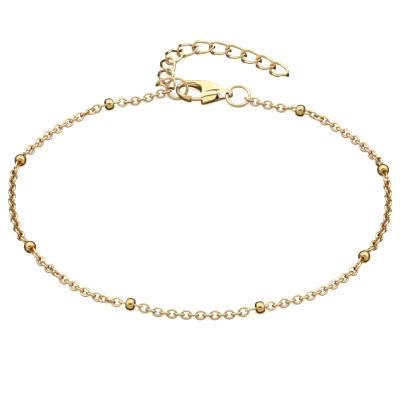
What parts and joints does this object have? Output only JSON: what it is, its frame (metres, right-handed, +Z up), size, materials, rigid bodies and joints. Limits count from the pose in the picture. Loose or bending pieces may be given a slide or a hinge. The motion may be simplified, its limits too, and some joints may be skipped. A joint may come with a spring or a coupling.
{
  "type": "bracelet",
  "caption": "Fine gold-coloured cable chain bracelet, closed in a loop, with small rondelle beads along it, a lobster clasp, jump rings and a curb extender chain.",
  "frame": {"origin": "on the surface that the bracelet lies on, under the middle of its whole outline", "axes": "+Z up from the surface, +X to the right along the clasp's side, +Y toward the clasp and the extender"},
  "size_m": [0.06, 0.0644, 0.0034],
  "materials": {
    "polished_gold": "polished, yellow gold colour"
  },
  "bodies": {
    "bracelet": {"chain_left": "polished_gold", "chain_right": "polished_gold", "bead_1": "polished_gold", "bead_2": "polished_gold", "bead_3": "polished_gold", "bead_4": "polished_gold", "bead_5": "polished_gold", "bead_6": "polished_gold", "bead_7": "polished_gold", "bead_8": "polished_gold", "jump_ring_left": "polished_gold", "jump_ring_right": "polished_gold", "extender_link_1": "polished_gold", "extender_link_2": "polished_gold", "extender_link_3": "polished_gold", "extender_link_4": "polished_gold", "extender_link_5": "polished_gold", "extender_link_6": "polished_gold", "extender_link_7": "polished_gold", "extender_link_8": "polished_gold", "extender_link_9": "polished_gold", "extender_link_10": "polished_gold", "extender_link_11": "polished_gold", "clasp_body": "polished_gold"},
    "lever": {"clasp_lever": "polished_gold"}
  },
  "joints": [
    {"name": "lever_hinge", "type": "hinge", "parent": "bracelet", "child": "lever", "pos_m": [0.00218, 0.01917, 0.00088], "axis": [0, 0, -1], "range_deg": [0, 18], "stiffness_Nm_per_rad": 0.0005, "springref_deg": -5.73}
  ]
}
